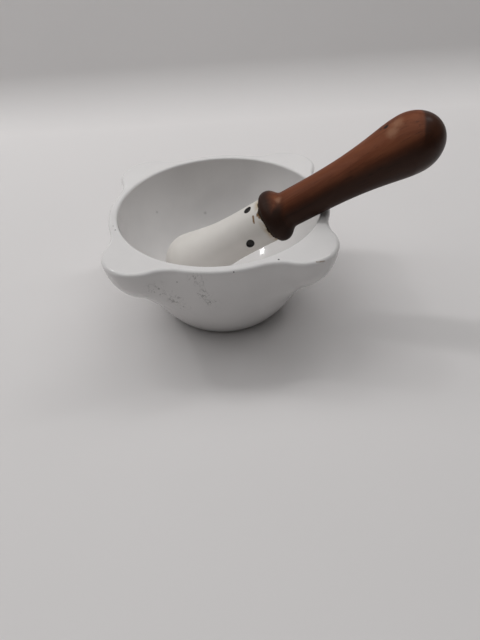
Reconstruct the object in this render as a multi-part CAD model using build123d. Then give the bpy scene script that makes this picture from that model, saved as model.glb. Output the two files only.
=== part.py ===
from build123d import *
from math import asin, atan2, cos, degrees, hypot, radians, sin, sqrt
import os

# A four-lugged porcelain mortar with its pestle: a porcelain head on a turned wooden handle.
#
# Frame: millimetres, +Z up. The origin is on the surface that the mortar stands on, at the centre
# of its foot. The pestle rests as it does after use: its head in the bowl on the -X side, its
# handle leaning out over the rim on the +X side. Each pestle piece is first drawn along its own
# axis, +Z from the centre of the round head towards the grip, and is then put in place.

# Mortar
HEIGHT = 78.7              # floor to the flat top of the rim
MOUTH_RADIUS = 70.0        # inside of the rim; the bowl below it is a half sphere
RIM_RADIUS = 76.4          # outside of the rim, between two lugs
BELLY_RADIUS = 68.0        # outside of the wall at BELLY_HEIGHT
BELLY_HEIGHT = 40.0
FOOT_RADIUS = 46.5
FOOT_EDGE = 2.5            # rounding where the wall meets the foot
FOOT_RING_WIDTH = 8.0      # flat ring that it stands on
FOOT_HOLLOW = 1.5          # depth of the hollow inside that ring
MOUTH_EDGE = 1.6           # rounding of the rim's inner edge
RIM_EDGE = 2.6             # rounding of the outer edge of the rim and lugs

# Lugs
LUG_COUNT = 4
LUG_FIRST_ANGLE = 45.0
LUG_REACH = 95.0           # mortar axis to the tip of a lug
LUG_RADIUS = 23.5          # round end of a lug, seen from above
LUG_DEPTH = 32.0           # flat top of a lug to the lowest point of its rounded underside
LUG_BLEND = 17.0           # hollow fillet between a lug and the wall

# Pestle head, one piece of porcelain with its shank
HEAD_RADIUS = 20.3         # the end that grinds is part of a sphere
HEAD_SHOULDER = 8.0        # degrees past the widest point at which the sphere ends
SHANK_RADIUS = 15.0        # the shank's slimmest part
SHANK_WAIST = 50.0         # head centre to that part
SHOULDER_SWELL = 1.7       # how much thicker the shank is at SHOULDER_STATION
SHOULDER_STATION = 22.0    # from the head's centre
SHANK_FLARE = 0.2          # how much thicker its end is
SHANK_LENGTH = 69.1        # head centre to the end of the porcelain
SHANK_EDGE = 0.6           # rounding of that end
SOCKET_RADIUS = 9.6
SOCKET_DEPTH = 36.0

# Cement between the porcelain and the wood
CEMENT_WALL = 0.6          # round the tenon
SEAM = 0.7                 # between the end of the porcelain and the collar
SEAM_PROUD = 0.3           # how far the seam stands out from the porcelain

# Turned wooden handle: a collar, a slim neck that lies over the rim, and a pear-shaped grip
COLLAR_STEP = 1.4          # how far the collar's face stands out from the end of the porcelain
COLLAR_SWELL = 1.4         # how far its widest part stands out from its face
COLLAR_CREST = 3.2         # start of the wood to the collar's widest part
COLLAR_LENGTH = 14.2       # start of the wood to the straight neck
COLLAR_PULL = 5.3          # how gently its flank leaves the crest and meets the neck
NECK_RADIUS = 12.4
FLARE_PULL = 42.0          # how gently the grip grows out of the neck
GRIP_RADIUS = 18.0
GRIP_PULL = 14.0           # how gently it reaches its widest part
GRIP_STATION = 66.0        # neck to the grip's widest part
GRIP_END = 20.4            # widest part of the grip to its rounded end

# Two pins, square to each other, through the porcelain, the cement and the tenon
PIN_RADIUS = 2.75
PIN_CLEARANCE = 0.05
PIN_RECESS = 0.9           # how far the pin's ends lie below the porcelain
PIN_STATIONS = {"upper": 9.2, "lower": 17.0}    # end of the porcelain to the pin's axis
PIN_ANGLES = {"upper": 8.2, "lower": 98.2}       # degrees about the pestle's axis from its upper side

# Where the pestle rests
REST_GAP = 0.3             # between the pestle and the bowl and between the pestle and the rim
HEAD_BACK = 21.7           # how far the head's centre lies behind the mortar's axis
SIDE_OFFSET = -6.5         # how far the pestle's upright plane passes beside that axis
PESTLE_YAW = -9.0          # degrees, the direction in which the handle leans

HEAD_HEIGHT = HEIGHT - sqrt((MOUTH_RADIUS - HEAD_RADIUS - REST_GAP)**2 - HEAD_BACK**2 - SIDE_OFFSET**2)
SHOULDER_RADIUS = SHANK_RADIUS + SHOULDER_SWELL
SHANK_END_RADIUS = SHANK_RADIUS + SHANK_FLARE
COLLAR_FACE_RADIUS = SHANK_END_RADIUS + COLLAR_STEP
COLLAR_RADIUS = COLLAR_FACE_RADIUS + COLLAR_SWELL
WOOD_START = SHANK_LENGTH + SEAM
TENON_RADIUS = SOCKET_RADIUS - CEMENT_WALL
TENON_LENGTH = SOCKET_DEPTH + SEAM - CEMENT_WALL

STANDING = (Align.CENTER, Align.CENTER, Align.MIN)

os.makedirs("parts", exist_ok=True)


def turned(outline):
    """A solid turned about Z from lines and curves in XZ that start and end on the axis."""
    start = outline[0] @ 0
    end = outline[-1] @ 1
    closed = Curve() + outline + Line(end, start)
    return revolve(make_face(Plane.XZ * closed), axis=Axis.Z)


def quarter(centre, across, along):
    """A quarter of an ellipse, from the point across from its centre to the point along from it."""
    x, y = centre
    pull = 4 / 3 * (sqrt(2) - 1)
    return Bezier((x + across, y), (x + across, y + pull * along), (x + pull * across, y + along),
                  (x, y + along))


def ease(start, end, leave, arrive):
    """A curve between two points that leaves the first and arrives at the second along the axis."""
    return Bezier(start, (start[0], start[1] + leave), (end[0], end[1] - arrive), end)


def mortar_wall():
    """The outside of the mortar without its lugs."""
    wall = Spline((FOOT_RADIUS, 0), (BELLY_RADIUS, BELLY_HEIGHT), (RIM_RADIUS, HEIGHT),
                  tangents=((0.75, 1), (0.02, 1)))
    return turned([Line((0, 0), (FOOT_RADIUS, 0)), wall, Line((RIM_RADIUS, HEIGHT), (0, HEIGHT))])


def lug(angle):
    """A lug: a round flat top over half an egg, turned about the lug's own upright axis."""
    egg = turned([Line((0, HEIGHT), (LUG_RADIUS, HEIGHT)), quarter((0, HEIGHT), LUG_RADIUS, -LUG_DEPTH)])
    return Rot(0, 0, angle) * Pos(LUG_REACH - LUG_RADIUS, 0, 0) * egg


def edges_at(part, level, radius=None):
    """The edges of a part that lie in one level plane, of one radius about Z if it is given."""
    found = []
    for edge in part.edges():
        box = edge.bounding_box()
        if max(abs(box.min.Z - level), abs(box.max.Z - level)) > 0.001:
            continue
        reach = max(hypot(p.X, p.Y) for p in (edge @ 0, edge @ 0.5, edge @ 1))
        if radius is None or abs(reach - radius) < 0.001:
            found.append(edge)
    return found


def make_mortar():
    body = mortar_wall()
    for i in range(LUG_COUNT):
        body += lug(LUG_FIRST_ANGLE + i * 360 / LUG_COUNT)
    joints = [e for e in body.edges() if e.geom_type == GeomType.BSPLINE and e.length > 2 * LUG_RADIUS]
    body = body.fillet(LUG_BLEND, joints)
    body = body.fillet(RIM_EDGE, edges_at(body, HEIGHT))
    body = body.fillet(FOOT_EDGE, edges_at(body, 0, FOOT_RADIUS))
    body -= Pos(0, 0, HEIGHT) * Sphere(MOUTH_RADIUS)
    body = body.fillet(MOUTH_EDGE, edges_at(body, HEIGHT, MOUTH_RADIUS))
    hollow_radius = FOOT_RADIUS - FOOT_EDGE - FOOT_RING_WIDTH
    return body - Cylinder(hollow_radius, FOOT_HOLLOW, align=STANDING)


def sphere_end():
    """Where the head's spherical end goes over into the shank: radius and station."""
    angle = radians(HEAD_SHOULDER)
    return HEAD_RADIUS * cos(angle), HEAD_RADIUS * sin(angle)


def pin(name, radius, length):
    """A cylinder across the pestle at the place of one of its pins."""
    station = SHANK_LENGTH - PIN_STATIONS[name]
    return Pos(0, 0, station) * Rot(0, 0, PIN_ANGLES[name]) * Rot(0, 90, 0) * Cylinder(radius, length)


def pin_bores():
    """The bores for both pins, through everything."""
    bores = [pin(name, PIN_RADIUS + PIN_CLEARANCE, 4 * SHANK_RADIUS) for name in PIN_STATIONS]
    return bores[0] + bores[1]


def make_head():
    radius, station = sphere_end()
    slope = radians(HEAD_SHOULDER)
    end = CenterArc((0, 0), HEAD_RADIUS, -90, 90 + HEAD_SHOULDER)
    flank = Spline((radius, station), (SHOULDER_RADIUS, SHOULDER_STATION), (SHANK_RADIUS, SHANK_WAIST),
                   (SHANK_END_RADIUS, SHANK_LENGTH), tangents=((-sin(slope), cos(slope)), (0, 1)))
    body = turned([end, flank, Line((SHANK_END_RADIUS, SHANK_LENGTH), (0, SHANK_LENGTH))])
    body = body.fillet(SHANK_EDGE, edges_at(body, SHANK_LENGTH))
    socket = Cylinder(SOCKET_RADIUS, SOCKET_DEPTH, align=STANDING)
    return body - Pos(0, 0, SHANK_LENGTH - SOCKET_DEPTH) * socket - pin_bores()


def make_cement():
    """A sleeve round the tenon with a pad under it, and the seam that shows outside."""
    cup = Cylinder(SOCKET_RADIUS, SOCKET_DEPTH, align=STANDING)
    tenon_room = Cylinder(TENON_RADIUS, TENON_LENGTH, align=STANDING)
    seam = Cylinder(SHANK_END_RADIUS + SEAM_PROUD, SEAM, align=STANDING)
    seam = seam.fillet(SEAM / 3, seam.edges())
    body = Pos(0, 0, SHANK_LENGTH - SOCKET_DEPTH) * cup + Pos(0, 0, SHANK_LENGTH) * seam
    return body - Pos(0, 0, WOOD_START - TENON_LENGTH) * tenon_room - pin_bores()


def resting_pitch():
    """The slope of the pestle's axis in degrees, and how far along it the neck crosses the rim.

    The neck lies over the rounded inner edge of the rim, whose centre line is a level circle.
    """
    edge_circle = sqrt((MOUTH_RADIUS + MOUTH_EDGE)**2 - MOUTH_EDGE**2)
    run = sqrt(edge_circle**2 - SIDE_OFFSET**2) + HEAD_BACK
    rise = HEIGHT - MOUTH_EDGE - HEAD_HEIGHT
    distance = hypot(run, rise)
    lift = asin((NECK_RADIUS + MOUTH_EDGE + REST_GAP) / distance)
    return degrees(atan2(rise, run) + lift), distance * cos(lift)


def make_handle(neck):
    face = Line((0, WOOD_START), (COLLAR_FACE_RADIUS, WOOD_START))
    crest = WOOD_START + COLLAR_CREST
    front = quarter((COLLAR_FACE_RADIUS, crest), COLLAR_RADIUS - COLLAR_FACE_RADIUS, -COLLAR_CREST)
    foot = WOOD_START + COLLAR_LENGTH
    grip = neck + GRIP_STATION
    flank = ease((COLLAR_RADIUS, crest), (NECK_RADIUS, foot), COLLAR_PULL, COLLAR_PULL)
    slim = Line((NECK_RADIUS, foot), (NECK_RADIUS, neck))
    flare = ease((NECK_RADIUS, neck), (GRIP_RADIUS, grip), FLARE_PULL, GRIP_PULL)
    end = quarter((0, grip), GRIP_RADIUS, GRIP_END)
    tenon = Pos(0, 0, WOOD_START - TENON_LENGTH) * Cylinder(TENON_RADIUS, TENON_LENGTH, align=STANDING)
    return turned([face, front, flank, slim, flare, end]) + tenon - pin_bores()


def make_pin(name):
    return pin(name, PIN_RADIUS, 2 * (SHANK_RADIUS - PIN_RECESS))


pitch, neck = resting_pitch()
in_place = Rot(0, 0, PESTLE_YAW) * Pos(-HEAD_BACK, SIDE_OFFSET, HEAD_HEIGHT) * Rot(0, 90 - pitch, 0)
export_step(make_mortar(), "parts/mortar.step")
export_step(in_place * make_head(), "parts/pestle_head.step")
export_step(in_place * make_cement(), "parts/joint_cement.step")
export_step(in_place * make_handle(neck), "parts/pestle_handle.step")
for name in PIN_STATIONS:
    export_step(in_place * make_pin(name), f"parts/cross_pin_{name}.step")
print(f"slope {pitch:.2f} degrees, neck {neck:.2f} mm from the head's centre")
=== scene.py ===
import math

import bpy
import numpy as np
from mathutils import Matrix, Vector


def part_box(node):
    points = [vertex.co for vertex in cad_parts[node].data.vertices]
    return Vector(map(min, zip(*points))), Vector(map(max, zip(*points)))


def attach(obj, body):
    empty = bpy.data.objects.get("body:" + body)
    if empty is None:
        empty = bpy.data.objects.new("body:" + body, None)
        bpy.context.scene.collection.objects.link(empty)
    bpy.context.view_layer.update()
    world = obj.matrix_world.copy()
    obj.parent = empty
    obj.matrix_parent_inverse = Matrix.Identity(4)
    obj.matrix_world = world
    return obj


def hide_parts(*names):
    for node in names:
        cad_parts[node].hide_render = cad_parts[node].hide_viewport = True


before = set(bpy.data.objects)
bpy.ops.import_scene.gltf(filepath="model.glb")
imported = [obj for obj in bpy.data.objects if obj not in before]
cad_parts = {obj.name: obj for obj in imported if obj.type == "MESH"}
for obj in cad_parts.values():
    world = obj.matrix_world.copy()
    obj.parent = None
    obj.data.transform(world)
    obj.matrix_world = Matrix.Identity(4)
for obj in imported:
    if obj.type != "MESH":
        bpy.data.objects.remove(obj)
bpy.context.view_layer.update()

# A four-lugged porcelain mortar and its pestle: a porcelain head cemented and pinned to a turned
# wooden handle. Lengths are in millimetres until a mesh is made. The pestle's pieces are worked
# out along their own axis, +Z from the centre of the round head towards the grip, and are then
# put where the pestle rests: its head in the bowl, its neck over the rim.

MM = 0.001
POSE_TOLERANCE = 0.5       # millimetres that a piece's box may differ from that of its CAD node
CRUST_ROOM = 3.0           # the same for the cement, which creeps over the end of the porcelain
FOOT_LEAN = (0.75, 1)      # direction of the mortar's wall at the foot: outwards, up
RIM_LEAN = (0.02, 1)       # the same at the rim
WITHIN, BEYOND = 40, 120   # mouth's centre to points surely within the wall and beyond the lugs
HALVINGS = 26              # of the stretch between those two points, to find the outside
JOIN_PASSES = 6            # how many times the joins of lugs and wall are evened out
LOW_JOIN_PASSES = 30       # the same under the lugs
BACK_LEAN = 0.407, 0.914   # direction of the backdrop above its curve: away, up

bl_info = {
    "name": "Mortar and pestle",
    "version": (1, 0, 0),
    "blender": (4, 5, 0),
    "location": "View3D > Sidebar > Mortar",
    "description": "Builds a lugged porcelain mortar with a wooden-handled pestle",
    "category": "Add Mesh",
}


# Sizes and colours

def number(name, description, default, **rest):
    """A number property."""
    return bpy.props.FloatProperty(name=name, description=description, default=default, **rest)


def length(name, description, default, low=0):
    """A length property that is given in millimetres and kept in metres."""
    return number(name, description, default * MM, min=low * MM, subtype="DISTANCE",
                  unit="LENGTH", precision=5)


def angle(name, description, default):
    """An angle property that is given in degrees and kept in radians."""
    return number(name, description, math.radians(default), subtype="ANGLE", unit="ROTATION")


def colour(name, description, default):
    """A colour property."""
    return bpy.props.FloatVectorProperty(name=name, description=description, default=default,
                                         min=0, max=1, size=3, subtype="COLOR")


class MortarSizes(bpy.types.PropertyGroup):
    """Sizes of the mortar."""
    height: length("Height", "Floor to the flat top of the rim", 78.7)
    mouth: length("Mouth radius", "Inside of the rim; the bowl below it is a half sphere", 70.0)
    rim: length("Rim radius", "Outside of the rim, between two lugs", 76.35)
    belly: length("Belly radius", "Outside of the wall at the belly height", 68.0)
    belly_height: length("Belly height", "Height at which the belly radius is taken", 40.0)
    foot: length("Foot radius", "Where the wall would meet the floor", 46.5)
    foot_edge: length("Foot edge", "Rounding where the wall meets the foot", 2.5)
    foot_ring: length("Foot ring", "Width of the flat ring that the mortar stands on", 8.0)
    foot_hollow: length("Foot hollow", "Depth of the hollow inside the foot ring", 1.5)
    mouth_edge: length("Mouth edge", "Rounding of the rim's inner edge", 1.6)
    rim_edge: length("Rim edge", "Rounding of the rim's outer edge", 2.6)
    lugs: bpy.props.IntProperty(name="Lugs", description="Number of lugs", default=4, min=1)
    first_lug: angle("First lug", "Direction of the first lug", 45.0)
    lug_reach: length("Lug reach", "Mortar axis to the tip of a lug", 95.0)
    lug: length("Lug radius", "Round end of a lug, seen from above", 23.5)
    lug_depth: length("Lug depth", "Top of a lug to the lowest point of its underside", 32.0)
    lug_blend: length("Lug blend", "Hollow fillet between a lug and the wall", 17.0)
    lug_soft: number("Lug softness", "How much the fillet grows under a lug", 0.7, min=0)


class PestleSizes(bpy.types.PropertyGroup):
    """Sizes of the pestle, and where it rests."""
    head: length("Head radius", "The grinding end is part of a sphere", 20.3)
    head_shoulder: angle("Head shoulder", "Past the widest point, where the sphere ends", 8.0)
    shank: length("Shank radius", "The shank's slimmest part", 15.0)
    shank_waist: length("Shank waist", "Head centre to the slimmest part", 50.0)
    shoulder_swell: length("Shoulder swell", "Extra radius of the shank at the shoulder", 1.7)
    shoulder: length("Shoulder", "Head centre to the shoulder", 22.0)
    shank_flare: length("Shank flare", "Extra radius at the end of the shank", 0.2)
    shank_length: length("Shank length", "Head centre to the end of the porcelain", 69.1)
    shank_edge: length("Shank edge", "Rounding of the shank's end", 0.6)
    socket: length("Socket radius", "Hole in the shank for the tenon", 9.6)
    socket_depth: length("Socket depth", "Depth of that hole", 36.0)
    cement: length("Cement wall", "Cement round the tenon", 0.6)
    seam: length("Seam", "Cement between the porcelain and the collar", 0.7)
    seam_proud: length("Seam proud", "How far the seam stands out", 0.3)
    collar_step: length("Collar step", "Collar's face beyond the end of the porcelain", 1.4)
    collar_swell: length("Collar swell", "Collar's widest part beyond its face", 1.4)
    collar_crest: length("Collar crest", "Start of the wood to the collar's widest part", 3.2)
    collar_length: length("Collar length", "Start of the wood to the straight neck", 14.2)
    collar_pull: length("Collar pull", "How gently the collar's flank bends", 5.3)
    neck: length("Neck radius", "The straight part that lies over the rim", 12.4)
    flare_pull: length("Flare pull", "How gently the grip grows out of the neck", 42.0)
    grip: length("Grip radius", "Widest part of the grip", 18.0)
    grip_pull: length("Grip pull", "How gently it reaches its widest part", 14.0)
    grip_station: length("Grip station", "Neck's crossing to the grip's widest part", 66.0)
    grip_end: length("Grip end", "Widest part of the grip to its rounded end", 20.4)
    pin: length("Pin radius", "Radius of the two pins", 2.75)
    pin_recess: length("Pin recess", "How far the pins' ends lie below the porcelain", 0.9)
    looseness: number("Looseness", "Width of the lower pin's holes over the pin's", 1.1,
                      min=1, max=1.2)
    skew: number("Skew", "How slanted the lower pin's holes are", 0.45, min=0, max=1)
    upper_pin: length("Upper pin", "End of the porcelain to the upper pin", 9.2)
    lower_pin: length("Lower pin", "End of the porcelain to the lower pin", 17.0)
    pin_turn: angle("Pin turn", "Upper pin's direction from the pestle's upper side", 8.2)
    rest_gap: length("Rest gap", "Between the pestle and what it rests on", 0.3)
    head_back: length("Head back", "Head centre behind the mortar's axis", 21.7)
    side: length("Side offset", "Pestle's upright plane beside the mortar's axis", -6.5, -1000)
    yaw: angle("Yaw", "Direction in which the handle leans", -9.0)


class FinishColours(bpy.types.PropertyGroup):
    """Colours of the finishes."""
    white: colour("White glaze", "The mortar", (0.755, 0.738, 0.730))
    shade: colour("Glaze shade", "Where the mortar's glaze is thin or worn", (0.715, 0.700, 0.694))
    wear: colour("Wear", "Grey marks of use in the glaze", (0.16, 0.155, 0.15))
    pit: colour("Pits", "Dark pits in the glaze", (0.035, 0.03, 0.027))
    cream: colour("Cream glaze", "The pestle's head", (0.745, 0.715, 0.680))
    cream_shade: colour("Cream shade", "Where the cream glaze is darker", (0.69, 0.66, 0.62))
    halo: colour("Halo", "Yellowish halo beside the joint", (0.46, 0.33, 0.15))
    stain: colour("Stain", "Brown stain beside the joint", (0.20, 0.105, 0.035))
    wood: colour("Wood", "The handle's main colour", (0.135, 0.037, 0.014))
    wood_light: colour("Light grain", "Between the dark lines of the grain", (0.19, 0.060, 0.026))
    # Also the colour of the painted shade under the handle and its collar.
    wood_dark_and_shade: colour("Dark grain", "Dark lines, knots and ends", (0.018, 0.0085, 0.0055))
    # Also the colour of painted highlights on the handle's upper side.
    wood_worn_and_highlight: colour("Worn wood", "Where the polish is rubbed off", (0.27, 0.13, 0.075))
    cement: colour("Cement", "The crust at the joint", (0.075, 0.042, 0.022))
    # Also the colour of the painted shade inside the pins' holes in the head.
    iron: colour("Iron", "The pins' ends", (0.012, 0.010, 0.009))


class StudioSettings(bpy.types.PropertyGroup):
    """The floor, the light and the camera."""
    floor: colour("Floor", "Colour of the floor and backdrop", (0.71, 0.69, 0.685))
    sweep_start: length("Sweep start", "Where the floor begins to rise", 342.0)
    sweep_radius: length("Sweep radius", "Radius of the rise", 85.0)
    floor_half: length("Floor half width", "Half the floor's width", 3000.0)
    floor_front: length("Floor front", "How far the floor runs towards the camera", 2500.0)
    back: length("Back", "How far the backdrop goes on above its curve", 400.0)
    room: number("Room light", "Strength of the light from all around", 0.072, min=0)
    eye: bpy.props.FloatVectorProperty(name="Camera place", description="Where the camera stands",
                                       default=(0.0092, -0.3068, 0.2573), subtype="TRANSLATION",
                                       unit="LENGTH")
    lens: number("Lens", "Focal length in millimetres", 28.125, min=1)
    tilt: angle("Camera tilt", "Camera's turn up from straight down", 46.6)
    roll: angle("Camera roll", "Camera's turn about its own axis", -3.925)


# Curves, in millimetres: arrays of (radius, height)

def arc(centre, radius, first, last, count):
    """Points of a circle's arc: centre + radius (cos a, sin a), a from first to last degrees."""
    a = np.radians(np.linspace(first, last, count))
    return np.stack([centre[0] + radius * np.cos(a), centre[1] + radius * np.sin(a)], 1)


def line(start, end, count):
    """Points evenly spaced on a straight line: start + t (end - start)."""
    t = np.linspace(0, 1, count)[:, None]
    return np.array(start) * (1 - t) + np.array(end) * t


def bezier(points, count):
    """A cubic Bezier: (1-t)^3 p0 + 3 t (1-t)^2 p1 + 3 t^2 (1-t) p2 + t^3 p3."""
    t = np.linspace(0, 1, count)[:, None]
    p = [np.array(q, float) for q in points]
    return p[0] * (1 - t)**3 + 3 * t * (1 - t)**2 * p[1] + 3 * t**2 * (1 - t) * p[2] + t**3 * p[3]


def unit(vectors):
    """Vectors of length 1."""
    return np.array(vectors) / np.hypot(*np.transpose(vectors))[..., None]


def ease(start, end, leave, arrive, count):
    """A Bezier that leaves start and arrives at end along the axis."""
    return bezier([start, (start[0], start[1] + leave), (end[0], end[1] - arrive), end], count)


def spline(points, first, last, count):
    """A smooth curve through points with given end directions.

    Cubic pieces over the chord lengths; the slopes at the inner points come from the condition
    that the curvature doesn't jump there.
    """
    p = np.array(points, float)
    h = np.hypot(*np.diff(p, axis=0).T)
    n = len(p)
    system = np.zeros((n, n))
    right = np.zeros((n, 2))
    system[0, 0] = system[-1, -1] = 1
    right[0], right[-1] = unit(first), unit(last)
    for i in range(1, n - 1):
        system[i, i - 1:i + 2] = 1 / h[i - 1], 2 / h[i - 1] + 2 / h[i], 1 / h[i]
        right[i] = 3 * ((p[i] - p[i - 1]) / h[i - 1]**2 + (p[i + 1] - p[i]) / h[i]**2)
    slope = np.linalg.solve(system, right)
    knots = np.concatenate([[0], np.cumsum(h)])
    s = np.linspace(0, knots[-1], count)
    k = np.clip(np.searchsorted(knots, s, side="right") - 1, 0, n - 2)
    t = ((s - knots[k]) / h[k])[:, None]
    step = h[k][:, None]
    return ((2 * t**3 - 3 * t**2 + 1) * p[k] + (t**3 - 2 * t**2 + t) * step * slope[k]
            + (3 * t**2 - 2 * t**3) * p[k + 1] + (t**3 - t**2) * step * slope[k + 1])


def profile(*parts):
    """One curve from several that follow on from each other, each without its first point."""
    return np.concatenate([parts[0]] + [part[1:] for part in parts[1:]])


# Meshes

def put_mesh(name, points, *faces):
    """An object from points in millimetres and arrays of faces, whose corners are point numbers."""
    mesh = bpy.data.meshes.new(name)
    mesh.from_pydata((points * MM).tolist(), [], sum((part.tolist() for part in faces), []))
    mesh.shade_smooth()
    mesh.validate()
    thing = bpy.data.objects.new(name, mesh)
    bpy.context.scene.collection.objects.link(thing)
    return thing


def add_piece(name, shape, node, body, material, place=None, room=POSE_TOLERANCE):
    """Makes a piece from rings of points (rings, points round, 3) that are closed by two poles.

    Each ring joins the next with four-sided faces and each pole joins its ring with triangles.
    Seen from above, the points run anticlockwise, and a ring that is further along the outside
    of the piece is further up, so the faces point outwards. The piece gets its material, is put
    under its body's empty and hides its CAD node. Stops if a side of its box is more than room
    millimetres from that of the node.
    """
    rings, first_pole, last_pole = shape
    rows, columns = rings.shape[:2]
    points = np.concatenate([[first_pole], rings.reshape(-1, 3), [last_pole]])
    if place is not None:
        points = points @ np.array(place.to_3x3()).T + np.array(place.translation)
    index = 1 + np.arange(rows * columns).reshape(rows, columns)
    following = np.roll(index, -1, axis=1)
    quads = np.stack([index[:-1], following[:-1], following[1:], index[1:]], -1).reshape(-1, 4)
    start = np.stack([np.zeros(columns, int), following[0], index[0]], -1)
    end = np.stack([index[-1], following[-1], np.full(columns, len(points) - 1)], -1)
    thing = put_mesh(name, points, quads, start, end)
    box = np.array([points.min(0), points.max(0)])
    off = np.abs(box - np.array(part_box(node)) / MM).max()
    if off > room:
        raise ValueError(f"{name} is {off:.2f} mm away from CAD node {node}")
    thing.data.materials.append(material)
    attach(thing, body)
    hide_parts(node)


def around(r, turn, z):
    """Points at distance r from the axis, direction turn and height z: (r cos a, r sin a, z)."""
    return np.stack([r * np.cos(turn), r * np.sin(turn), z + 0 * turn], -1)


def turned(curve, turn):
    """Rings of a turned shape, whose curve is (radius, height)."""
    return around(curve[:, :1], turn, curve[:, 1:])


def round_angles(count):
    """The angles of count points round a circle, as a row."""
    return np.linspace(0, 2 * np.pi, count, endpoint=False)[None, :]


def wobble(seed, turn, orders, amplitude):
    """Seeded unevenness round a circle: a sum of sines, weaker as their orders rise."""
    rng = np.random.default_rng(seed)
    total = 0 * turn
    for order in orders:
        size = rng.normal() / math.sqrt(order)
        total = total + size * np.sin(order * turn + rng.uniform(0, 6.28))
    return amplitude * total


# The mortar's outside: a turned wall and round lugs that run into each other

def nearest(points_r, points_z, curve, normals):
    """Signed distance to a curve and the curve's normal there, from its nearest sample."""
    gap = (points_r[..., None] - curve[:, 0])**2 + (points_z[..., None] - curve[:, 1])**2
    k = gap.argmin(-1)
    normal = normals[k]
    along = np.stack([points_r, points_z], -1) - curve[k]
    return (along * normal).sum(-1), normal


def rolled_union(a, b, cosine, radius):
    """Distance to two joined shapes with a hollow fillet of a given radius between them.

    a and b are the distances to the two shapes and cosine is that of the angle between their
    normals. Where both are nearer than the radius, the surface is that of a ball rolled along
    both; elsewhere it is the nearer shape.
    """
    first, second = radius - a, radius - b
    square = np.maximum(1 - cosine**2, 1e-6)
    inside = (first - second * cosine > 0) & (second - first * cosine > 0)
    ball = np.sqrt(np.maximum(first**2 + second**2 - 2 * first * second * cosine, 0) / square)
    return np.where(inside, radius - ball, np.minimum(a, b))


def outside_distance(x, y, z, size):
    """Distance to the mortar's outside near a lug that points along +X."""
    wall = spline([(size.foot, 0), (size.belly, size.belly_height), (size.rim, size.height)],
                  FOOT_LEAN, RIM_LEAN, 500)
    slope = unit(np.gradient(wall, axis=0))
    wall_normal = np.stack([slope[:, 1], -slope[:, 0]], 1)
    t = np.linspace(0, np.pi / 2, 240)
    egg = np.stack([size.lug * np.cos(t), size.height - size.lug_depth * np.sin(t)], 1)
    egg_normal = unit(np.stack([np.cos(t) / size.lug, -np.sin(t) / size.lug_depth], 1))
    from_axis = np.hypot(x, y)
    a, wall_turned = nearest(from_axis, z, wall, wall_normal)
    lug_x = x - (size.lug_reach - size.lug)
    from_lug = np.hypot(lug_x, y)
    b, lug_turned = nearest(from_lug, z, egg, egg_normal)
    plan = (x * lug_x + y * y) / np.maximum(from_axis * from_lug, 1e-6)
    cosine = (wall_turned[..., 0] * lug_turned[..., 0] * plan
              + wall_turned[..., 1] * lug_turned[..., 1])
    under = np.clip((size.height - z) / size.lug_depth, 0, 1)
    return rolled_union(a, b, cosine, size.lug_blend * (1 + size.lug_soft * under**2))


def reach_outside(turn, dip, size):
    """How far the mortar's outside lies from the centre of its mouth.

    The rays leave in the plan direction turn, measured from a lug, and go down by dip. The
    distance is found by halving the ray between a point inside the wall and one outside it.
    """
    along = np.stack([np.cos(turn) * np.cos(dip), np.sin(turn) * np.cos(dip),
                      -np.sin(dip) + 0 * turn])
    low, high = WITHIN + 0 * along[0], BEYOND + 0 * along[0]
    for _ in range(HALVINGS):
        middle = (low + high) / 2
        x, y, z = along * middle
        outside = outside_distance(x, y, z + size.height, size) > 0
        high = np.where(outside, middle, high)
        low = np.where(outside, low, middle)
    return (low + high) / 2


def soften(reach, times):
    """Evens out a grid of distances that is closed round its columns, but for its edge rows.

    Each value becomes the mean of itself and its four neighbours, several times over.
    """
    for _ in range(times):
        beside = np.roll(reach, 1, 1) + np.roll(reach, -1, 1)
        mean = (beside[1:-1] + reach[:-2] + reach[2:] + reach[1:-1]) / 5
        reach = np.concatenate([reach[:1], mean, reach[-1:]])
    return reach


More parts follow.
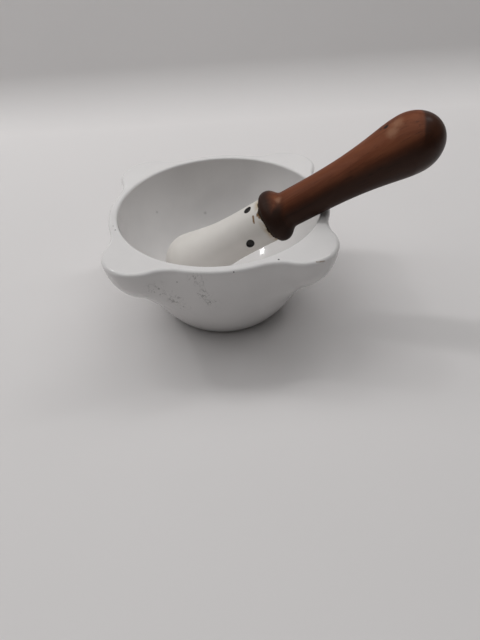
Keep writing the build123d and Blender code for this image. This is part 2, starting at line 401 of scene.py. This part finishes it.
def mortar_rings(size, columns=384, wall_rows=88):
    """Rings of the mortar from the hollow under its foot, up the outside and down into the bowl.

    The foot, the rounded edges and the half-spherical bowl are turned; the outside is a distance
    from the mouth's centre in each direction; the flat rim lies between the two.
    """
    turn = round_angles(columns)
    spacing = 2 * np.pi / size.lugs
    fold = np.abs((turn - size.first_lug + spacing / 2) % spacing - spacing / 2)
    folded, back = np.unique(np.round(fold[0], 6), return_inverse=True)

    out, up = unit(FOOT_LEAN)
    floor = size.foot - size.foot_edge * (1 - out) / up
    hollow = size.foot - size.foot_edge - size.foot_ring
    small = 0.4                        # rounding of the hollow's edges
    under = profile(line((hollow / 4, size.foot_hollow), (hollow - small, size.foot_hollow), 5),
                    arc((hollow - small, size.foot_hollow - small), small, 90, 0, 4),
                    arc((hollow + small, small), small, 180, 270, 4),
                    line((hollow + small, 0), (floor, 0), 4),
                    arc((floor, size.foot_edge), size.foot_edge, -90,
                        -math.degrees(math.asin(out)), 7))
    lowest = math.atan2(size.height - under[-1, 1], under[-1, 0])

    rim = reach_outside(folded[None, :], np.zeros((1, 1)), size)
    highest = np.arctan2(size.rim_edge, rim)
    share = np.linspace(0, 1, wall_rows)[:, None]
    dip = lowest + (highest - lowest) * share
    reach = reach_outside(folded[None, :], dip, size)
    reach[0] = np.hypot(under[-1, 0], size.height - under[-1, 1])
    reach, dip = soften(reach[:, back], JOIN_PASSES), dip[:, back]
    low = np.clip(2 - 2.2 * share, 0, 1)     # 1 up to the belly, 0 at the rim
    reach = reach * (1 - low) + soften(reach, LOW_JOIN_PASSES) * low
    wall = around(reach * np.cos(dip), turn, size.height - reach * np.sin(dip))

    outline = wall[-1, :, :2]
    tangent = unit(np.roll(outline, -1, 0) - np.roll(outline, 1, 0))
    normal = np.stack([tangent[:, 1], -tangent[:, 0]], 1)
    t = np.linspace(0, np.pi / 2, 9)[1:, None]
    inset = size.rim_edge * (1 - np.cos(t))
    start = wall[-1, :, 2].mean()
    level = start + (size.height - start) * np.sin(t) + 0 * turn
    edge = np.dstack([outline - inset[..., None] * normal, level])

    mouth = math.sqrt((size.mouth + size.mouth_edge)**2 - size.mouth_edge**2)
    lean = math.degrees(math.asin(size.mouth_edge / (size.mouth + size.mouth_edge)))
    t = np.linspace(0, 1, 7)[1:, None, None]
    circle = turned(np.array([[mouth, size.height]]), turn)
    top = edge[-1:] * (1 - t) + circle * t
    inner = profile(arc((mouth, size.height - size.mouth_edge), size.mouth_edge, 90, 180 + lean, 7),
                    arc((0, size.height), size.mouth, -lean, -89, 62))[1:]
    rings = np.concatenate([turned(under, turn), wall[1:], edge, top, turned(inner, turn)])
    return rings, (0, 0, size.foot_hollow), (0, 0, size.height - size.mouth)


# The pestle

def resting_place(mortar, size):
    """Where the pestle rests: its place matrix in millimetres, and how far along it the rim is.

    The head touches the half-spherical bowl and the neck touches the rounded inner edge of the
    rim, whose centre line is a level circle; the axis lies in one upright plane.
    """
    free = mortar.mouth - size.head - size.rest_gap
    centre_height = mortar.height - math.sqrt(free**2 - size.head_back**2 - size.side**2)
    edge_circle = math.sqrt((mortar.mouth + mortar.mouth_edge)**2 - mortar.mouth_edge**2)
    run = math.sqrt(edge_circle**2 - size.side**2) + size.head_back
    rise = mortar.height - mortar.mouth_edge - centre_height
    distance = math.hypot(run, rise)
    lift = math.asin((size.neck + mortar.mouth_edge + size.rest_gap) / distance)
    pitch = math.atan2(rise, run) + lift
    place = (Matrix.Rotation(size.yaw, 4, "Z")
             @ Matrix.Translation((-size.head_back, size.side, centre_height))
             @ Matrix.Rotation(math.pi / 2 - pitch, 4, "Y"))
    return place, distance * math.cos(lift)


class Lengths:
    """The lengths of a property group in millimetres, and its other values as they are."""

    def __init__(self, group):
        for key, prop in group.bl_rna.properties.items():
            value = getattr(group, key)
            self.__dict__[key] = value / MM if getattr(prop, "unit", "") == "LENGTH" else value


def resting_pestle():
    """The pestle's sizes, its place matrix, and how far along it the rim is."""
    scene = bpy.context.scene
    pestle = Lengths(scene.pestle_sizes)
    return (pestle, *resting_place(Lengths(scene.mortar_sizes), pestle))


def pins(size):
    """Each pin: name, way from the shank's end, direction, and its holes' width and slant."""
    return (("upper", size.upper_pin, size.pin_turn, 1, 0),
            ("lower", size.lower_pin, size.pin_turn + math.pi / 2, size.looseness, size.skew))


def head_rings(size, columns=240):
    """Rings of the porcelain head, with round recesses at the ends of both pins.

    A sphere's arc, a spline along the shank, a rounded end and a socket, all turned. Near a
    recess the points of the turned surface are drawn towards its rim, by a stretch of their
    distance from its centre, so that its edge is crisp; inside it they lie deeper.
    """
    end, socket = size.shank_length, size.socket
    end_radius = size.shank + size.shank_flare
    slope = size.head_shoulder
    ball = arc((0, 0), size.head, -88.5, math.degrees(slope), 64)
    flank = spline([ball[-1], (size.shank + size.shoulder_swell, size.shoulder),
                    (size.shank, size.shank_waist), (end_radius, end)],
                   (-math.sin(slope), math.cos(slope)), (0, 1), 2000)
    depth = 2.2 * size.pin_recess
    top = end - size.shank_edge
    dense = end - size.lower_pin - 2.4 * size.pin
    stations = np.concatenate([np.linspace(flank[0, 1], dense, 40)[1:-1],
                               np.linspace(dense, top, 66)])
    turn = round_angles(columns)
    z = stations[:, None] + 0 * turn
    a = turn + 0 * z
    sink = 0 * z
    # Distances from a pin's axis, where they are drawn to, and how deep the middle three lie.
    given = size.pin + np.array([-size.pin, -0.42, -0.06, 0.32, 3.2])
    drawn = size.pin + np.array([-size.pin, -0.03, 0.04, 0.14, 3.2])
    sunk = given[1:4] + (0, 0, 0.1), (depth, 0.05, 0)
    for _, station, first, wide, skew in pins(size):
        for side, slant in ((first, -skew), (first + math.pi, skew)):
            across = size.shank * ((a - side + np.pi) % (2 * np.pi) - np.pi)
            along = z - (end - station)
            far = np.sqrt(across**2 + along**2 + slant * across * along) / wide
            near = np.clip(far, 1e-6, given[-1])
            pull = np.interp(near, given, drawn) / near - 1
            a = a + across * pull / size.shank
            z = z + along * pull
            sink = np.maximum(sink, np.interp(far, *sunk))
    r = np.interp(z, flank[:, 1], flank[:, 0]) - sink
    shank = around(r, a, z)
    floor, edge = end - size.socket_depth, end_radius - size.shank_edge
    rest = profile(arc((edge, top), size.shank_edge, 0, 90, 6),
                   line((edge, end), (socket + 0.3, end), 4),
                   arc((socket + 0.3, end - 0.3), 0.3, 90, 180, 3),
                   line((socket, end - 0.3), (socket, floor + 0.5), 10),
                   arc((socket - 0.5, floor + 0.5), 0.5, 0, -90, 4),
                   line((socket - 0.5, floor), (2, floor), 4))[1:]
    rings = np.concatenate([turned(ball, turn), shank, turned(rest, turn)])
    return rings, (0, 0, -size.head), (0, 0, floor)


def cement_rings(size, columns=240):
    """Rings of the cement: a cup round the tenon and an uneven crust that shows at the joint."""
    turn = round_angles(columns)
    end, socket = size.shank_length, size.socket
    floor, wood = end - size.socket_depth, end + size.seam
    out = size.shank + size.shank_flare
    inner, base = socket - size.cement, floor + size.cement
    cup = profile(line((2, floor), (socket - 0.5, floor), 4),
                  arc((socket - 0.5, floor + 0.5), 0.5, -90, 0, 4),
                  line((socket, floor + 0.5), (socket, end), 8),
                  line((socket, end), (out - 1.2, end), 3))
    inset, rows = 0.7, 13              # crust's start inside the porcelain's edge, and its rings
    swell = (arc((0, 0), 1, -90, 90, rows) * (inset + size.seam_proud, size.seam / 2)
             + (out - inset, wood - size.seam / 2))
    crust = turned(swell, turn)
    bulge = np.cos(np.linspace(-np.pi / 2, np.pi / 2, rows))[:, None]
    proud = bulge * (wobble(3, turn, range(5, 60, 3), 0.12) + wobble(9, turn, range(2, 7), 0.08))
    proud = np.minimum(proud, 0.45)
    creep = 1.3 + wobble(5, turn, range(3, 9), 0.55) + wobble(6, turn, range(11, 50, 3), 0.45)
    creep = np.clip(creep, 0.5, 2.6) * np.linspace(1, 0, rows)[:, None]**0.7
    crust[2:, :, 2] -= creep[2:]
    crust += around(proud, turn, 0 * proud)
    room = profile(line((out - 1.2, wood), (inner, wood), 4),
                   line((inner, wood), (inner, base + 0.4), 8),
                   arc((inner - 0.4, base + 0.4), 0.4, 0, -90, 4),
                   line((inner - 0.4, base), (2, base), 3))
    rings = np.concatenate([turned(cup, turn), crust, turned(room, turn)])
    return rings, (0, 0, floor), (0, 0, base)


def handle_rings(size, crossing, columns=192):
    """Rings of the turned handle: tenon, collar, neck and pear-shaped grip.

    A turned profile of lines and Bezier curves; slow unevenness round and along it stands for
    wear and for wood that has dried out of round.
    """
    wood = size.shank_length + size.seam
    tenon = size.socket - size.cement
    start = wood - size.socket_depth - size.seam + size.cement
    face = size.shank + size.shank_flare + size.collar_step
    crest, high = face + size.collar_swell, wood + size.collar_crest
    foot = wood + size.collar_length
    grip = crossing + size.grip_station
    tip = grip + size.grip_end
    hold = 4 / 3 * (math.sqrt(2) - 1)
    curve = profile(
        line((2, start), (tenon - 0.4, start), 4),
        arc((tenon - 0.4, start + 0.4), 0.4, -90, 0, 4),
        line((tenon, start + 0.4), (tenon, wood), 12),
        line((tenon, wood), (face, wood), 6),
        bezier([(face, wood), (face + hold * (crest - face), wood),
                (crest, high - hold * size.collar_crest), (crest, high)], 12),
        ease((crest, high), (size.neck, foot), size.collar_pull, size.collar_pull, 28),
        line((size.neck, foot), (size.neck, crossing), 16),
        ease((size.neck, crossing), (size.grip, grip), size.flare_pull, size.grip_pull, 80),
        bezier([(size.grip, grip), (size.grip, grip + hold * size.grip_end),
                (hold * size.grip, tip), (0, tip)], 50)[:-1])
    turn = round_angles(columns)
    rings = turned(curve, turn)
    z = rings[..., 2]
    r = np.hypot(rings[..., 0], rings[..., 1])
    fade, shrink = 6, 0.12             # how far in the unevenness starts, and how far below
    far = np.clip((z - wood - 1) / fade, 0, 1) * np.clip((tip - z) / fade, 0, 1)
    uneven = far * (wobble(21, turn, (2, 3, 5), 0.07) * np.cos(z / 17)
                    + wobble(22, turn, (1, 2, 4), 0.07) * np.sin(z / 29) - shrink)
    lip = np.exp(-((z - wood - 1.2) / 1.6)**2) * (r > face - 1)
    uneven = uneven - lip * np.abs(wobble(24, turn, range(4, 34, 3), 0.16))
    rings[..., :2] *= (1 + uneven / r)[..., None]
    return rings, (0, 0, start), (0, 0, tip)


def pin_rings(size, first, columns=64):
    """Rings of a pin that lies across the pestle: a bar with worn, slightly domed ends."""
    half, pin = size.shank - size.pin_recess, size.pin
    curve = profile(line((0.4, 0.02 - half), (pin * 0.6, 0.1 - half), 6),
                    line((pin * 0.6, 0.1 - half), (pin - 0.25, 0.22 - half), 6),
                    arc((pin - 0.3, 0.5 - half), 0.27, -90, 0, 5),
                    line((pin - 0.03, 0.5 - half), (pin - 0.03, half - 0.5), 10),
                    arc((pin - 0.3, half - 0.5), 0.27, 0, 90, 5),
                    line((pin - 0.25, half - 0.22), (pin * 0.6, half - 0.1), 6),
                    line((pin * 0.6, half - 0.1), (0.4, half - 0.02), 6))
    turn = round_angles(columns)
    rings = turned(curve, turn)
    ends = np.abs(rings[..., 2]) > half - 0.24
    rings[..., 2] -= np.sign(rings[..., 2]) * ends * np.abs(wobble(first, turn, (1, 2, 3, 5), 0.05))
    return rings, (0, 0, -half), (0, 0, half)


# Finishes

def maths(operation, swapped=False):
    """A method that does an operation on a reading and another number, or the other way round."""
    def method(self, other):
        pair = (other, self) if swapped else (self, other)
        return self.finish.number("ShaderNodeMath", {"operation": operation}, dict(enumerate(pair)))
    return method


class Reading:
    """A number in a material; arithmetic on it adds Math nodes."""
    __add__ = __radd__ = maths("ADD")
    __sub__ = maths("SUBTRACT")
    __rsub__ = maths("SUBTRACT", swapped=True)
    __mul__ = __rmul__ = maths("MULTIPLY")
    __pow__ = maths("POWER")
    most = maths("MAXIMUM")            # the larger of two numbers

    def __init__(self, finish, socket):
        self.finish = finish
        self.socket = socket


class Finish:
    """A material and the ways to add nodes to it."""

    def __init__(self, name):
        self.material = bpy.data.materials.new(name)
        self.material.use_nodes = True
        self.tree = self.material.node_tree
        self.shader = self.tree.nodes["Principled BSDF"]
        self.place = self.node("ShaderNodeTexCoord").outputs["Object"]

    def node(self, kind, settings=None, inputs=None):
        """Adds any node: its settings first, then the values or links of its sockets."""
        node = self.tree.nodes.new(kind)
        for key, value in (settings or {}).items():
            setattr(node, key, value)
        for key, value in (inputs or {}).items():
            self.feed(node.inputs[key], value)
        return node

    def feed(self, socket, value):
        """Links a reading or a socket to a socket, or sets its value."""
        if isinstance(value, Reading):
            value = value.socket
        if isinstance(value, bpy.types.NodeSocket):
            self.tree.links.new(value, socket)
        else:
            socket.default_value = value

    def number(self, kind, settings=None, inputs=None, output=0):
        """Adds a node and reads a number from it."""
        return Reading(self, self.node(kind, settings, inputs).outputs[output])

    def own_place(self, place):
        """Positions along the piece's own axis: Object positions with its place undone."""
        return self.node("ShaderNodeMapping", {"vector_type": "TEXTURE"},
                         {"Vector": self.place, "Location": tuple(place.translation * MM),
                          "Rotation": tuple(place.to_euler())}).outputs[0]

    def noise(self, scale, detail=2.0, rough=0.5, at=None, distortion=0.0):
        """Soft noise between 0 and 1; scale is in cells a metre."""
        inputs = {"Vector": at or self.place, "Scale": scale, "Detail": detail,
                  "Roughness": rough, "Distortion": distortion}
        return self.number("ShaderNodeTexNoise", None, inputs)

    def between(self, value, low, high):
        """0 below low, 1 above high and smooth between; the other way round if low is higher."""
        inputs = {"Value": value, "From Min": low, "From Max": high}
        return self.number("ShaderNodeMapRange", {"interpolation_type": "SMOOTHSTEP"}, inputs)

    def fade(self, value, start, first, last):
        """0 at start + first and 1 at start + last, in millimetres, of a value in metres."""
        return self.between(value, (start + first) * MM, (start + last) * MM)

    def vectors(self, operation, first, second):
        """Adds Vector Math of two vectors, of which the outputs are a vector and a number."""
        return self.node("ShaderNodeVectorMath", {"operation": operation},
                         {0: first, 1: second}).outputs

    def stretched(self, at, rise):
        """Positions of which only part of the third number counts, so marks are longer that way."""
        return self.vectors("MULTIPLY", at, (1, 1, rise))[0]

    def spots(self, places, at=None, uneven=None):
        """A mask of round spots from (place in millimetres, radius, softness)."""
        mask = 0
        for place, radius, soft in places:
            point = tuple(c * MM for c in place)
            far = Reading(self, self.vectors("DISTANCE", at or self.place, point)["Value"])
            if uneven is not None:
                far = far + uneven * (radius * MM)
            mask = self.fade(far, radius, soft, -min(radius, soft)).most(mask)
        return mask

    def mix(self, factor, first, second):
        """A colour between two, each a socket or three numbers."""
        first, second = (colour if isinstance(colour, bpy.types.NodeSocket) else (*colour, 1)
                         for colour in (first, second))
        return self.node("ShaderNodeMix", {"data_type": "RGBA"},
                         {0: factor, 6: first, 7: second}).outputs[2]

    def over(self, base, *layers):
        """A colour with layers of (mask, colour) laid over it, one after another."""
        for mask, layer in layers:
            base = self.mix(mask, base, layer)
        return base

    def coordinates(self, at):
        """The three numbers of a position."""
        parts = self.node("ShaderNodeSeparateXYZ", None, {0: at})
        return [Reading(self, part) for part in parts.outputs]

    def bump(self, height, distance):
        """A normal from a height between 0 and 1; 1 stands for a distance in millimetres."""
        inputs = {"Strength": 1.0, "Distance": distance * MM, "Height": height}
        return self.node("ShaderNodeBump", None, inputs).outputs[0]

    def surface(self, **inputs):
        """Feeds the shader's sockets, named with _ for spaces."""
        for key, value in inputs.items():
            self.feed(self.shader.inputs[key.replace("_", " ")], value)
        return self.material


# Places of single marks as (place in millimetres, radius, softness); the first three lists are
# along the pestle's own axis, the others in the mortar's frame.
STAINS = (((-11.9, -9.2, 63.3), 0.75, 0.35), ((-11.4, -9.8, 63.1), 0.75, 0.35),
          ((-10.9, -10.4, 63.0), 0.75, 0.35), ((-10.3, -11.0, 62.8), 0.8, 0.35),
          ((-9.7, -11.6, 62.6), 0.75, 0.35), ((-9.0, -12.1, 62.4), 0.6, 0.35),
          ((-11.7, -9.7, 67.4), 1.5, 0.8), ((-10.4, -11.2, 67.9), 1.2, 0.7))
# Lighter spots on the handle's upper side, partly rubbed wear and partly painted highlights.
WORN_AND_HIGHLIGHTS = (((-11.6, -4.6, 82.5), 2.0, 1.4), ((-16.0, -7.4, 162.0), 3.2, 2.4),
        ((-17.0, -4.0, 166.0), 3.0, 2.6))
KNOTS = (((-17.2, -1.0, 159.6), 1.4, 0.6), ((-17.2, 0.6, 156.3), 0.9, 0.6))
PITS = (((-70.5, -19, 78.7), 0.30, 0.25), ((-68.5, -24, 78.7), 0.45, 0.3),
        ((34.5, -68.2, 78.7), 0.55, 0.3), ((7.5, -75.6, 77.4), 0.4, 0.25),
        ((-16.5, -74.6, 75.5), 0.3, 0.25), ((-27, -71, 69.3), 0.35, 0.25))
SMUDGES = (((-50, 40.5, 51.7), 0.8, 0.7), ((-13.5, 56, 38.7), 0.9, 0.8))
RUST = tuple(((56.4 + 0.75 * i, -72.1 + 0.12 * i, 77.9 - 0.06 * i), 0.42, 0.34) for i in range(8))
WEAR = (((-41, -70.5, 64), 5, 4), ((-37, -69, 58), 5, 4), ((-31, -66.5, 51), 5, 4),
        ((-27, -64.5, 44), 4, 4), ((-15, -74.5, 72), 4, 4), ((-12, -73, 60), 4, 4),
        ((-8, -71.5, 50), 4, 4))


def white_glaze(colours):
    """Thick white glaze on the mortar: faintly uneven colour, dark pits, fine grey marks of use."""
    finish = Finish("White glaze")
    tone = finish.noise(14, 2) * 0.7 + finish.noise(90, 2) * 0.3
    base = finish.mix(finish.between(tone, 0.3, 0.7), colours.white, colours.shade)
    ragged = finish.noise(650, 4, 0.7)
    uneven = ragged - 0.5
    streaks = finish.noise(300, 5, 0.75, at=finish.stretched(finish.place, 0.45),
                           distortion=1.5)
    wear = finish.spots(WEAR, uneven=uneven) * finish.between(streaks, 0.53, 0.60)
    smudges = finish.spots(SMUDGES, uneven=uneven * 2)
    rust = finish.spots(RUST, uneven=uneven * 2)
    pits = finish.spots(PITS, uneven=uneven)
    cells = finish.number("ShaderNodeTexVoronoi", {"feature": "F1"},
                          {"Vector": finish.place, "Scale": 60.0, "Randomness": 1.0}, "Distance")
    few = finish.between(finish.noise(31, 1), 0.62, 0.66)
    specks = finish.between(cells, 0.030, 0.016) * few
    base = finish.over(base, (wear * 0.65, colours.wear), (smudges * 0.35, colours.wear),
                       (rust * 0.8, colours.stain), (pits.most(specks), colours.pit))
    wave = finish.noise(30, 1) * 0.8 + finish.noise(110, 1) * 0.2
    rough = 0.05 + finish.noise(70, 3) * 0.05
    return finish.surface(Base_Color=base, Roughness=rough, Normal=finish.bump(wave, 0.16),
                          IOR=1.52)


def pin_holes(finish, own, pestle):
    """A mask of the pins' holes, whose distance from the axis counts for less if they are wide."""
    mask = 0
    for _, station, direction, wide, slant in pins(pestle):
        across = (-math.sin(direction), math.cos(direction), 0)
        side = Reading(finish, finish.vectors("DOT_PRODUCT", own, across)["Value"])
        along = finish.coordinates(own)[2] - (pestle.shank_length - station) * MM
        far = (side * side + along * along - side * along * slant) ** 0.5 * (1 / wide)
        mask = finish.fade(far, pestle.pin, 0.2, 0).most(mask)
    return mask


def cream_glaze(colours, place, pestle):
    """Creamier glaze on the pestle's head, stained brown beside the joint, painted black shade in
    the pin holes.
    """
    finish = Finish("Cream glaze")
    own = finish.own_place(place)
    z = finish.coordinates(own)[2]
    tone = finish.noise(30, 3)
    base = finish.mix(finish.between(tone, 0.35, 0.65), colours.cream, colours.cream_shade)
    ragged = finish.noise(420, 4, 0.7)
    patches = finish.noise(130, 3)
    joint = pestle.shank_length
    near_joint = finish.fade(z + ragged * 0.0022, joint, 0, 1.2)
    halo = finish.fade(z, joint, -5, 0) * finish.between(patches, 0.42, 0.60)
    marks = finish.spots(STAINS, own, (ragged - 0.5) * 1.6) * finish.between(ragged, 0.12, 0.40)
    # The pins' holes get the iron colour: painted shade in the recesses round the pins' ends.
    base = finish.over(base, (halo * 0.8, colours.halo), (marks, colours.stain),
                       (near_joint, colours.stain), (pin_holes(finish, own, pestle), colours.iron))
    wave = finish.noise(60, 2)
    rough = 0.36 + finish.noise(90, 3) * 0.12
    return finish.surface(Base_Color=base, Roughness=rough + near_joint * 0.4,
                          Normal=finish.bump(wave, 0.12), IOR=1.5)


def turned_wood(colours, place, pestle, crossing):
    """Old polished wood: grain along the handle, dark collar and end, painted shade and darker wood
    underneath, worn spots and painted highlights.
    """
    finish = Finish("Turned wood")
    own = finish.own_place(place)
    x, _, z = finish.coordinates(own)
    grain = finish.noise(110, 5, 0.62, at=finish.stretched(own, 0.10), distortion=0.8)
    fine = finish.noise(700, 4, 0.6, at=finish.stretched(own, 0.035))
    cloud = finish.noise(38, 3, 0.55)
    base = finish.mix(finish.between(grain, 0.34, 0.66), colours.wood, colours.wood_light)
    start = pestle.shank_length + pestle.seam
    end = crossing + pestle.grip_station + pestle.grip_end
    uneven = cloud * 0.010 - 0.005
    collar = finish.fade(z + uneven * 0.8, start, 11.5, 5.5)
    tip = finish.fade(z + uneven * 0.3 + x * 0.7, end, -18, -14.5)
    # Darker where the handle faces down: painted shade, deepened by darker wood there.
    under = finish.fade(x + uneven * 0.6, 0, -13.2, -1.2)
    # The same underneath the collar: painted shade and darker wood.
    collar_underside_dark_and_shade = finish.fade(z + uneven, start, 19, 9) * finish.fade(x + uneven, 0, -14.5, -8.5)
    # The dark collar and end, and the painted shade underneath, take the dark wood colour.
    dark = (collar * 0.92).most(tip * 0.82).most(under * 0.87).most(collar_underside_dark_and_shade * 0.95)
    ragged = finish.noise(300, 4, 0.7) - 0.5
    # Lighter spots: rubbed wear and painted highlights.
    worn_and_highlights = finish.spots(WORN_AND_HIGHLIGHTS, own, ragged * 1.5)
    knots = finish.spots(KNOTS, own, ragged)
    base = finish.over(base, (finish.between(fine, 0.55, 0.75) * 0.5, colours.wood_dark_and_shade),
                       (dark, colours.wood_dark_and_shade), (worn_and_highlights * 0.85, colours.wood_worn_and_highlight),
                       (knots, colours.wood_dark_and_shade))
    rough = 0.42 + finish.noise(120, 3) * 0.16 + worn_and_highlights * 0.1 - tip * 0.14
    height = fine * 0.5 + grain * 0.5 - knots * 0.8
    return finish.surface(Base_Color=base, Roughness=rough, Normal=finish.bump(height, 0.10),
                          Specular_IOR_Level=0.17)


def brown_cement(colours):
    """Crumbly brown cement."""
    finish = Finish("Brown cement")
    dark = tuple(0.3 * c for c in colours.cement)
    base = finish.mix(finish.between(finish.noise(500, 4, 0.7), 0.35, 0.65), colours.cement, dark)
    return finish.surface(Base_Color=base, Roughness=0.85 + finish.noise(300) * 0.1,
                          Normal=finish.bump(finish.noise(900, 4, 0.7), 0.4))


def dark_iron(colours):
    """Blackened iron."""
    finish = Finish("Dark iron")
    rust = tuple(2.5 * c for c in colours.iron)
    base = finish.mix(finish.between(finish.noise(700, 3), 0.45, 0.7), colours.iron, rust)
    return finish.surface(Base_Color=base, Roughness=0.6 + finish.noise(500) * 0.2,
                          Normal=finish.bump(finish.noise(800, 3), 0.2))


# Operators

class MORTAR_OT_mortar(bpy.types.Operator):
    """Build the mortar"""
    bl_idname = "mortar.mortar"
    bl_label = "Mortar"

    def execute(self, context):
        mortar = Lengths(context.scene.mortar_sizes)
        add_piece("mortar_bowl", mortar_rings(mortar), "mortar", "mortar",
                  white_glaze(context.scene.finish_colours))
        return {"FINISHED"}


class MORTAR_OT_head(bpy.types.Operator):
    """Build the pestle's porcelain head"""
    bl_idname = "mortar.head"
    bl_label = "Pestle head"

    def execute(self, context):
        pestle, place, _ = resting_pestle()
        add_piece("porcelain_head", head_rings(pestle), "pestle_head", "pestle",
                  cream_glaze(context.scene.finish_colours, place, pestle), place)
        return {"FINISHED"}


class MORTAR_OT_cement(bpy.types.Operator):
    """Build the cement between the head and the handle"""
    bl_idname = "mortar.cement"
    bl_label = "Joint cement"

    def execute(self, context):
        pestle, place, _ = resting_pestle()
        add_piece("cement_seam", cement_rings(pestle), "joint_cement", "pestle",
                  brown_cement(context.scene.finish_colours), place, CRUST_ROOM)
        return {"FINISHED"}


class MORTAR_OT_handle(bpy.types.Operator):
    """Build the turned wooden handle"""
    bl_idname = "mortar.handle"
    bl_label = "Handle"

    def execute(self, context):
        pestle, place, crossing = resting_pestle()
        add_piece("wooden_handle", handle_rings(pestle, crossing), "pestle_handle", "pestle",
                  turned_wood(context.scene.finish_colours, place, pestle, crossing),
                  place)
        return {"FINISHED"}


class MORTAR_OT_pins(bpy.types.Operator):
    """Build the two pins through the joint"""
    bl_idname = "mortar.pins"
    bl_label = "Pins"

    def execute(self, context):
        pestle, place, _ = resting_pestle()
        material = dark_iron(context.scene.finish_colours)
        for seed, (name, station, turn, _, _) in enumerate(pins(pestle), 31):
            across = (place @ Matrix.Translation((0, 0, pestle.shank_length - station))
                      @ Matrix.Rotation(turn, 4, "Z") @ Matrix.Rotation(math.pi / 2, 4, "Y"))
            add_piece(f"{name}_pin", pin_rings(pestle, seed), f"cross_pin_{name}", "pestle",
                      material, across)
        return {"FINISHED"}


class MORTAR_OT_studio(bpy.types.Operator):
    """Build the floor, the light and the camera"""
    bl_idname = "mortar.studio"
    bl_label = "Studio"

    def execute(self, context):
        studio = context.scene.studio_settings
        self.add_floor(studio)
        self.add_light(context.scene, studio)
        camera = bpy.data.cameras.new("Camera")
        camera.lens = studio.lens
        camera.sensor_width = 36
        camera.clip_start = 0.01
        eye = bpy.data.objects.new("Camera", camera)
        eye.matrix_world = (Matrix.Translation(studio.eye)
                            @ Matrix.Rotation(studio.tilt, 4, "X")
                            @ Matrix.Rotation(studio.roll, 4, "Z"))
        context.scene.collection.objects.link(eye)
        context.scene.camera = eye
        return {"FINISHED"}

    def add_floor(self, studio):
        """A sheet that runs level and then rises in an arc to a steep back."""
        s = Lengths(studio)
        rise = arc((s.sweep_start, s.sweep_radius), s.sweep_radius, -90, -24, 24)
        back = profile(line((-s.floor_front, 0), (s.sweep_start, 0), 12),
                       rise, line(rise[-1], rise[-1] + s.back * np.array(BACK_LEAN), 3))
        x = np.linspace(-s.floor_half, s.floor_half, 9)[None, :]
        points = np.stack([x + 0 * back[:, :1], back[:, :1] + 0 * x, back[:, 1:] + 0 * x], -1)
        index = np.arange(points.shape[0] * points.shape[1]).reshape(points.shape[:2])
        faces = np.stack([index[:-1, :-1], index[:-1, 1:], index[1:, 1:], index[1:, :-1]], -1)
        floor = put_mesh("studio_floor", points.reshape(-1, 3), faces.reshape(-1, 4))
        finish = Finish("Studio floor")
        shade = tuple(0.97 * c for c in studio.floor)
        base = finish.mix(finish.noise(6, 3), studio.floor, shade)
        floor.data.materials.append(finish.surface(Base_Color=base, Roughness=0.6))

    def add_light(self, scene, studio):
        """A pale room and soft panels overhead, behind and at both sides."""
        world = bpy.data.worlds.new("Room")
        world.use_nodes = True
        sky = world.node_tree.nodes["Background"].inputs
        sky["Color"].default_value = (1.0, 0.99, 0.98, 1)
        sky["Strength"].default_value = studio.room
        scene.world = world
        for name, place, aim, width, depth, power, mirrored in (
                ("Overhead", (-0.40, 0.10, 1.60), (-0.40, 0.10, 0), 2.5, 2.2, 17.6, True),
                ("Left tube", (-1.15, 0.60, 1.40), (-0.28, 0.50, 0), 0.12, 2.1, 8.4, False),
                ("Left lamp", (-1.22, 0.64, 1.45), (-0.28, 0.50, 0), 0.26, 0.15, 2.0, True),
                ("Right tube", (0.98, 0.60, 1.40), (0.28, 0.50, 0), 0.14, 2.1, 4.9, False),
                ("Right lamp", (1.02, 0.64, 1.45), (0.28, 0.50, 0), 0.14, 0.36, 1.6, True)):
            lamp = bpy.data.lights.new(name, "AREA")
            lamp.shape = "RECTANGLE"
            lamp.size, lamp.size_y, lamp.energy = width, depth, power
            thing = bpy.data.objects.new(name, lamp)
            thing.location = place
            thing.visible_glossy = mirrored
            thing.rotation_euler = (Vector(aim) - Vector(place)).to_track_quat("-Z", "Y").to_euler()
            scene.collection.objects.link(thing)
        scene.view_settings.view_transform = "Standard"


class MORTAR_PT_panel(bpy.types.Panel):
    """Lists the pieces in the 3D view's sidebar"""
    bl_idname = "MORTAR_PT_panel"
    bl_label = "Mortar and pestle"
    bl_space_type = "VIEW_3D"
    bl_region_type = "UI"
    bl_category = "Mortar"

    def draw(self, context):
        for operator in PIECES:
            self.layout.operator(operator.bl_idname)
        for group in GROUPS:
            box = self.layout.box()
            held = getattr(context.scene, group)
            box.label(text=GROUPS[group].__doc__)
            for key in GROUPS[group].__annotations__:
                box.prop(held, key)


PIECES = (MORTAR_OT_mortar, MORTAR_OT_head, MORTAR_OT_cement, MORTAR_OT_handle, MORTAR_OT_pins,
          MORTAR_OT_studio)
GROUPS = {"mortar_sizes": MortarSizes, "pestle_sizes": PestleSizes,
          "finish_colours": FinishColours, "studio_settings": StudioSettings}


def register():
    for kind in (*GROUPS.values(), *PIECES, MORTAR_PT_panel):
        bpy.utils.register_class(kind)
    for name, kind in GROUPS.items():
        setattr(bpy.types.Scene, name, bpy.props.PointerProperty(type=kind))


def unregister():
    for name in GROUPS:
        delattr(bpy.types.Scene, name)
    for kind in (MORTAR_PT_panel, *reversed(PIECES), *reversed(GROUPS.values())):
        bpy.utils.unregister_class(kind)


def main():
    register()
    for operator in PIECES:
        name = operator.bl_idname.split(".")[1]
        if getattr(bpy.ops.mortar, name)() != {"FINISHED"}:
            raise RuntimeError(f"{operator.bl_label} wasn't built")


if __name__ == "__main__":
    main()
